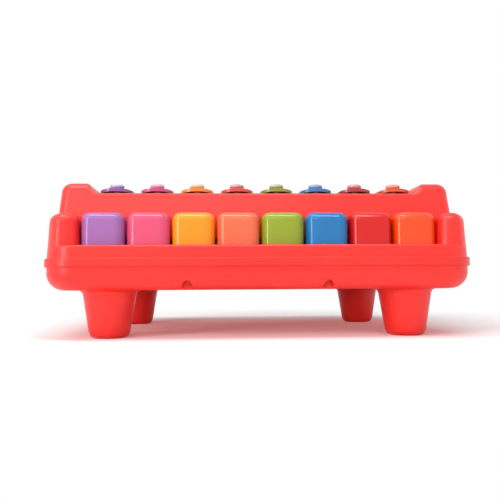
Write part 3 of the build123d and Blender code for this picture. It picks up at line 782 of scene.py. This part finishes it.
class XYLO_OT_keys(bpy.types.Operator):
    """Build the eight key caps with their levers"""

    bl_idname = "xylophone.keys"
    bl_label = "Keys"

    def execute(self, context):
        settings = context.scene.xylophone_keys
        for number, note, colour in zip(NOTE_NUMBERS, NOTES, KEY_COLOURS):
            plastic = moulded_plastic(
                f"Moulded ABS {note}",
                linear(colour),
                roughness=0.13,
                peel_mm=4.0,
                peel_depth_mm=0.012,
            )
            piece = new_piece(
                f"key_cap_{number}",
                lambda bm: self.fill(bm, f"key_{number}", settings),
                [plastic],
                f"key_{number}",
            )
            smooth_by_angle(piece, degrees=35)
            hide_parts(f"key_{number}")
        return {"FINISHED"}

    @staticmethod
    def fill(bm, node_name, settings):
        """Cap, lever, hub on the rod, tail and nub, where the CAD key has them."""
        low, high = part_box(node_name)
        middle = (low.x + high.x) / 2
        back = low.y + settings.depth
        rounded_cap(
            bm,
            Vector((low.x - settings.spread, low.y, low.z)),
            Vector((high.x + settings.spread, back, high.z)),
            settings.corner,
            settings.rim,
            settings.wall,
        )
        rod_low, rod_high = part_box("key_rod")
        rod_y, rod_z = (rod_low.y + rod_high.y) / 2, (rod_low.z + rod_high.z) / 2
        lever_top = low.z + LEVER_HEIGHT
        hub_front, hub_back = rod_y - HUB_HALF_DEPTH, rod_y + HUB_HALF_DEPTH
        tail_low, tail_high = rod_z - TAIL_HALF_HEIGHT, rod_z + TAIL_HALF_HEIGHT
        front = low.y + settings.wall / 2
        nub_y, nub_z = high.y - NUB_RADIUS, nub_height(node_name)
        nub = [
            (nub_y + NUB_RADIUS * math.cos(turn), nub_z + NUB_RADIUS * math.sin(turn))
            for turn in (math.pi * step / QUARTER_STEPS for step in range(QUARTER_STEPS + 1))
        ]
        outline = [
            (front, low.z),
            (hub_back, low.z),
            (hub_back, tail_low),
            (high.y, tail_low),
            *nub,
            (nub_y - NUB_RADIUS, tail_high),
            (hub_back, tail_high),
            (hub_back, lever_top),
            (front, lever_top),
        ]
        hub = [
            (hub_front, low.z),
            (hub_back, low.z),
            (hub_back, lever_top),
            (hub_front, lever_top),
        ]
        hole = circle(rod_y, rod_z, (rod_high.z - rod_low.z) / 2 + ROD_GAP, HOLE_CHORDS)
        solid_from_outline(
            bm, [outline, hole], middle - LEVER_HALF_WIDTH, middle + LEVER_HALF_WIDTH
        )
        hub_half_length = (high.x - low.x) / 2 - HUB_END_GAP
        for side in (-1, 1):
            solid_from_outline(
                bm,
                [hub, hole],
                middle + side * LEVER_HALF_WIDTH,
                middle + side * hub_half_length,
            )


def nub_height(node_name):
    """Height of the middle of the nub on a key's tail, from the CAD key's highest tail point."""
    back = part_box(node_name)[1].y
    heights = [
        vertex.co.z
        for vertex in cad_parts[node_name].data.vertices
        if vertex.co.y > back - TAIL_TIP_DEPTH
    ]
    return max(heights) - NUB_RADIUS


class XYLO_OT_bars(bpy.types.Operator):
    """Finish the eight arched bars in coloured enamel"""

    bl_idname = "xylophone.bars"
    bl_label = "Bars"

    def execute(self, context):
        edge = context.scene.xylophone_bars.edge / MM
        for number, note, colour in zip(NOTE_NUMBERS, NOTES, BAR_COLOURS):
            enamel = enamelled_steel(f"Enamelled steel {note}", linear(colour))
            dress(f"bar_{number}", enamel, edge)
        return {"FINISHED"}


class XYLO_OT_pegs(bpy.types.Operator):
    """Build the pearly pegs that hold the bars"""

    bl_idname = "xylophone.pegs"
    bl_label = "Pegs"

    def execute(self, context):
        settings = context.scene.xylophone_pegs
        # Each peg material takes its tint, in which the reflection of its bar is painted
        pearls = [
            pearl_acetal(f"Pearl acetal {note}", linear(tint))
            for note, tint in zip(NOTES, PEG_TINTS_WITH_PAINTED_BAR_REFLECTION)
        ]
        for row in ("front", "rear"):
            piece = new_piece(
                f"{row}_peg_heads",
                lambda bm: self.fill(bm, f"{row}_pegs", settings),
                pearls,
                "root",
            )
            smooth_by_angle(piece, degrees=40)
            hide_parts(f"{row}_pegs")
        return {"FINISHED"}

    @staticmethod
    def fill(bm, node_name, settings):
        """A head like a bead and a square shank for each peg of the CAD row, in its note's tint,
        which paints in the reflection of its bar.
        """
        low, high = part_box(node_name)
        first, last = low.x + settings.radius, high.x - settings.radius
        pitch = (last - first) / (len(NOTES) - 1)
        half, shank = settings.height / 2, settings.shank / 2
        middle = high.z - settings.sunk - half
        bead = [(0, middle - half)]
        for degrees in range(-90 + PEG_PROFILE_DEGREES, 90, PEG_PROFILE_DEGREES):
            angle = math.radians(degrees)
            radius = settings.radius * math.cos(angle) ** PEG_BLUNTNESS
            bead.append((radius, middle + half * math.sin(angle)))
        bead.append((0, middle + half))
        for index in range(len(NOTES)):
            x = first + index * pitch
            depths = [
                vertex.co.y
                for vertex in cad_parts[node_name].data.vertices
                if abs(vertex.co.x - x) < settings.radius + TOUCH
            ]
            y = (min(depths) + max(depths)) / 2
            before = len(bm.faces)
            turned_profile(bm, Vector((x, y, 0)), bead, PEG_CHORDS)
            corners = [
                (y - shank, middle),
                (y + shank, middle),
                (y + shank, low.z),
                (y - shank, low.z),
            ]
            solid_from_outline(bm, [corners], x - shank, x + shank)
            bm.faces.ensure_lookup_table()
            for face in bm.faces[before:]:
                face.material_index = index


class XYLO_OT_action(bpy.types.Operator):
    """Finish the frame, hammers, felts, rods, springs and screws inside the casing"""

    bl_idname = "xylophone.action"
    bl_label = "Key and hammer action"

    def execute(self, context):
        settings = context.scene.xylophone_action
        white = moulded_plastic(
            "Moulded polystyrene white",
            settings.frame_plastic[:],
            roughness=0.42,
            peel_mm=3.0,
            peel_depth_mm=0.015,
        )
        felt = pressed_felt("Pressed wool felt", settings.felt[:])
        along_x, across_x, no_way = (0.05, 1.0, 1.0), (1.0, 0.08, 0.08), (1.0, 1.0, 1.0)
        drawn = worked_steel(
            "Drawn steel rod", linear("#b9bcc0"), roughness=0.28, stretch=along_x, line_mm=0.4
        )
        strip = worked_steel(
            "Rolled spring steel", linear("#8f959c"), roughness=0.35, stretch=across_x, line_mm=0.3
        )
        plated = worked_steel(
            "Zinc-plated steel", linear("#a9abb0"), roughness=0.38, stretch=no_way, line_mm=0.6
        )
        hammers = tuple(f"hammer_{number}" for number in NOTE_NUMBERS)
        felts = ("front_bar_felt", "rear_bar_felt", "key_stop_felt", "key_rest_felt")
        for material, names in (
            (white, ("action_frame", *hammers)),
            (felt, (*felts, "hammer_rest_felt")),
            (drawn, ("key_rod", "hammer_rod")),
            (plated, ("casing_screws", "frame_screws")),
        ):
            for name in names:
                dress(name, material)
        for number in NOTE_NUMBERS:
            self.leaf_spring(number, strip, settings.spring_keep)
        return {"FINISHED"}

    @staticmethod
    def leaf_spring(number, steel, keep):
        """A leaf spring with the form of the CAD one."""
        node_name = f"key_spring_{number}"
        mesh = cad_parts[node_name].data.copy()
        mesh.materials.clear()
        mesh.materials.append(steel)
        piece = bpy.data.objects.new(f"leaf_spring_{number}", mesh)
        bpy.context.scene.collection.objects.link(piece)
        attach(piece, "root")
        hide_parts(node_name)
        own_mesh(piece)


class XYLO_OT_studio(bpy.types.Operator):
    """Set up the white sweep, the soft lamps and the camera in front of the toy"""

    bl_idname = "xylophone.studio"
    bl_label = "Studio"

    def execute(self, context):
        settings = context.scene.xylophone_studio
        self.lay_floor(settings)
        self.hang_lamps()
        self.set_camera(context)
        self.light_world(context)
        context.scene.view_settings.view_transform = "Standard"
        return {"FINISHED"}

    @staticmethod
    def lay_floor(settings):
        """A square of paper under the toy, which keeps its shadow."""
        mesh = bpy.data.meshes.new("Paper sweep")
        half = settings.floor_size / 2
        corners = [(-half, -half, 0), (half, -half, 0), (half, half, 0), (-half, half, 0)]
        mesh.from_pydata(corners, [], [(0, 1, 2, 3)])
        paper = paper_sweep(
            "White studio paper",
            settings.floor[:],
            [half_side * FOOTPRINT_SHARE for half_side in CAD_BOX[1]],
            settings.clear_from,
            settings.clear_to,
        )
        mesh.materials.append(paper)
        floor = bpy.data.objects.new("Paper sweep", mesh)
        bpy.context.scene.collection.objects.link(floor)

    @staticmethod
    def hang_lamps():
        """The softboxes of the table of lamps."""
        for name, size, place, target, watts, mirrored in LAMPS:
            lamp = bpy.data.lights.new(name, "AREA")
            lamp.shape = "RECTANGLE"
            lamp.size, lamp.size_y = size
            lamp.energy = watts
            holder = bpy.data.objects.new(name, lamp)
            holder.location = place
            aim = Vector(target) - Vector(place)
            holder.rotation_euler = aim.to_track_quat("-Z", "Y").to_euler()
            holder.visible_glossy = mirrored
            bpy.context.scene.collection.objects.link(holder)

    @staticmethod
    def set_camera(context):
        """The camera of the photo, turned first, then tilted, then rolled."""
        camera_data = bpy.data.cameras.new("Photo camera")
        camera_data.sensor_width = CAMERA_SENSOR_MM
        camera_data.lens = CAMERA_LENS_MM
        camera_data.shift_x = CAMERA_SHIFT_X
        camera_data.clip_start = 10 * MM
        camera = bpy.data.objects.new("Photo camera", camera_data)
        camera.matrix_world = (
            Matrix.Translation(Vector(CAMERA_PLACE_MM) * MM)
            @ Matrix.Rotation(-math.radians(CAMERA_TURNED_RIGHT), 4, "Z")
            @ Matrix.Rotation(math.pi / 2 + math.radians(CAMERA_TILTED_UP), 4, "X")
            @ Matrix.Rotation(math.radians(CAMERA_ROLLED), 4, "Z")
        )
        context.scene.collection.objects.link(camera)
        context.scene.camera = camera

    @staticmethod
    def light_world(context):
        """Soft light from all round, which is plain white to the camera and in reflections."""
        world = bpy.data.worlds.new("White studio")
        world.use_nodes = True
        tree = world.node_tree
        tree.nodes.clear()
        soft = add(
            tree,
            "ShaderNodeBackground",
            inputs={"Color": linear("#ffffff"), "Strength": WORLD_LIGHT},
        )
        white = add(
            tree, "ShaderNodeBackground", inputs={"Color": linear("#ffffff"), "Strength": 1.0}
        )
        path = add(tree, "ShaderNodeLightPath").outputs
        seen = add(
            tree,
            "ShaderNodeMath",
            operation="MAXIMUM",
            links={FIRST_TERM: path["Is Camera Ray"], SECOND_TERM: path["Is Glossy Ray"]},
        )
        either = add(
            tree,
            "ShaderNodeMath",
            operation="MAXIMUM",
            links={FIRST_TERM: seen.outputs["Value"], SECOND_TERM: path["Is Transmission Ray"]},
        )
        both = add(
            tree,
            "ShaderNodeMixShader",
            links={
                SURFACE_SHARE: either.outputs["Value"],
                FIRST_SURFACE: soft.outputs["Background"],
                SECOND_SURFACE: white.outputs["Background"],
            },
        )
        add(tree, "ShaderNodeOutputWorld", links={"Surface": both.outputs["Shader"]})
        context.scene.world = world


OPERATORS = (
    XYLO_OT_casing,
    XYLO_OT_keys,
    XYLO_OT_bars,
    XYLO_OT_pegs,
    XYLO_OT_action,
    XYLO_OT_studio,
)
SETTINGS = {
    "xylophone_casing": CasingSettings,
    "xylophone_keys": KeySettings,
    "xylophone_bars": BarSettings,
    "xylophone_pegs": PegSettings,
    "xylophone_action": ActionSettings,
    "xylophone_studio": StudioSettings,
}


class XYLO_PT_panel(bpy.types.Panel):
    """Lists the sizes and colours, and the operators that build each piece"""

    bl_idname = "XYLO_PT_panel"
    bl_label = "Toy xylophone"
    bl_space_type = "VIEW_3D"
    bl_region_type = "UI"
    bl_category = "Xylophone"

    def draw(self, context):
        for attribute, operator in zip(SETTINGS, OPERATORS):
            column = self.layout.column()
            group = getattr(context.scene, attribute)
            for name in group.bl_rna.properties.keys():
                if name not in ("rna_type", "name"):
                    column.prop(group, name)
            column.operator(operator.bl_idname)


def register():
    for attribute, group in SETTINGS.items():
        bpy.utils.register_class(group)
        setattr(bpy.types.Scene, attribute, bpy.props.PointerProperty(type=group))
    for operator in OPERATORS:
        bpy.utils.register_class(operator)
    bpy.utils.register_class(XYLO_PT_panel)


def unregister():
    bpy.utils.unregister_class(XYLO_PT_panel)
    for operator in reversed(OPERATORS):
        bpy.utils.unregister_class(operator)
    for attribute, group in reversed(SETTINGS.items()):
        delattr(bpy.types.Scene, attribute)
        bpy.utils.unregister_class(group)


def main():
    register()
    bpy.ops.xylophone.casing()
    bpy.ops.xylophone.keys()
    bpy.ops.xylophone.bars()
    bpy.ops.xylophone.pegs()
    bpy.ops.xylophone.action()
    bpy.ops.xylophone.studio()


if __name__ == "__main__":
    main()
